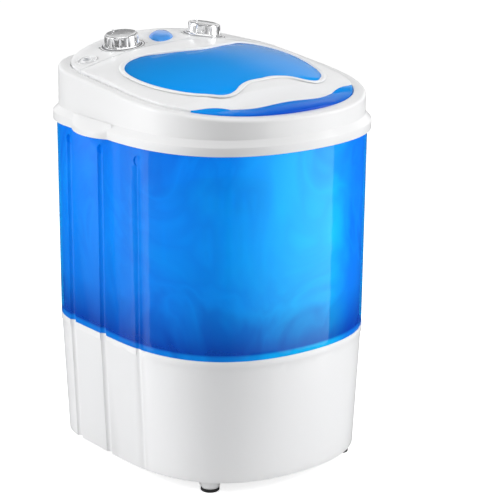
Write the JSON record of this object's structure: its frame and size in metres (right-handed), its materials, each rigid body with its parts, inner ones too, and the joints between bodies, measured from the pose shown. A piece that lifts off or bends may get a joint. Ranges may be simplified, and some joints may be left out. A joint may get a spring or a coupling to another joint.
{
  "type": "compact top-load washing machine",
  "caption": "Compact top-load washing machine: white base and top frame around a translucent blue tub, sloping hinged lid, two timer knobs, lift-out spin basket over a belt-driven pulsator",
  "frame": {"origin": "on the floor under the middle of the machine", "axes": "front faces -Y, control panel at +Y, width along X, height along +Z"},
  "size_m": [0.3558, 0.3646, 0.5192],
  "materials": {
    "shell_white": "glossy white moulded plastic",
    "panel_white": "glossy white moulded plastic",
    "tub_blue": "translucent deep blue plastic",
    "lid_blue": "translucent blue plastic",
    "leaf_blue": "blue glossy window",
    "chrome_knob": "chrome-plated plastic",
    "basket_blue": "pale blue plastic",
    "basket_white": "pale plastic",
    "pulsator_white": "pale plastic",
    "steel": "turned steel",
    "painted_metal": "black enamel",
    "bronze": "oil-filled bronze",
    "black_plastic": "black moulded plastic",
    "grey_plastic": "grey moulded plastic",
    "rubber": "black rubber",
    "zinc": "zinc-plated steel"
  },
  "bodies": {
    "cabinet": {"base_housing": "shell_white", "bottom_plate": "grey_plastic", "foot_legs": "shell_white", "foot_pads": "rubber", "tub": "tub_blue", "tub_screws": "zinc", "top_frame": "shell_white", "control_panel": "panel_white", "leaf_window": "leaf_blue", "inlet_cup": "panel_white", "wash_timer_case": "grey_plastic", "spin_timer_case": "grey_plastic", "lid_switch": "black_plastic", "bearing_housing": "black_plastic", "bushings": "bronze", "shaft_seal": "rubber", "motor_case": "painted_metal", "motor_bracket": "steel", "motor_screws": "zinc", "capacitor": "grey_plastic", "drain_pipe": "grey_plastic", "drain_spigot": "grey_plastic", "cord_gland": "black_plastic", "rear_channel": "shell_white", "overflow_duct": "lid_blue", "drive_belt": "rubber"},
    "lid": {"lid_cover": "panel_white", "lid_shell": "lid_blue", "lid_clips": "panel_white", "lid_plug": "panel_white", "hinge_pins": "steel"},
    "wash_dial": {"wash_knob": "chrome_knob", "wash_timer_shaft": "steel"},
    "spin_dial": {"spin_knob": "chrome_knob", "spin_timer_shaft": "steel"},
    "drive": {"pulsator": "pulsator_white", "pulsator_screw": "zinc", "drive_shaft": "steel", "large_pulley": "grey_plastic"},
    "motor_rotor": {"motor_pulley": "steel", "motor_shaft": "steel"},
    "basket": {"spin_basket": "basket_blue", "basket_hub": "basket_white"},
    "bail": {"basket_bail": "steel"}
  },
  "joints": [
    {"name": "lid_hinge", "type": "hinge", "parent": "cabinet", "child": "lid", "pos_m": [0, 0.074, 0.4934], "axis": [-1, 0, 0], "range_deg": [0, 90]},
    {"name": "wash_timer", "type": "hinge", "parent": "cabinet", "child": "wash_dial", "pos_m": [-0.0625, 0.115, 0.50228], "axis": [0.127, 0.04, -0.9911], "range_deg": [0, 330]},
    {"name": "spin_timer", "type": "hinge", "parent": "cabinet", "child": "spin_dial", "pos_m": [0.0625, 0.115, 0.50228], "axis": [-0.127, 0.04, -0.9911], "range_deg": [0, 300]},
    {"name": "pulsator_spin", "type": "hinge", "parent": "cabinet", "child": "drive", "pos_m": [0, -0.025, 0.2], "axis": [0, 0, 1], "continuous": true},
    {"name": "motor_spin", "type": "hinge", "parent": "cabinet", "child": "motor_rotor", "pos_m": [0.066, 0.074, 0.062], "axis": [0, 0, 1], "continuous": true},
    {"name": "basket_lift", "type": "slide", "parent": "drive", "child": "basket", "axis": [0, 0, 1], "range_m": [0, 0.045]},
    {"name": "bail_swing", "type": "hinge", "parent": "basket", "child": "bail", "pos_m": [0, -0.025, 0.3335], "axis": [-1, 0, 0], "range_deg": [0, 180]}
  ],
  "couplings": [
    {"joint": "motor_spin", "follows": "pulsator_spin", "ratio": 4.51}
  ]
}
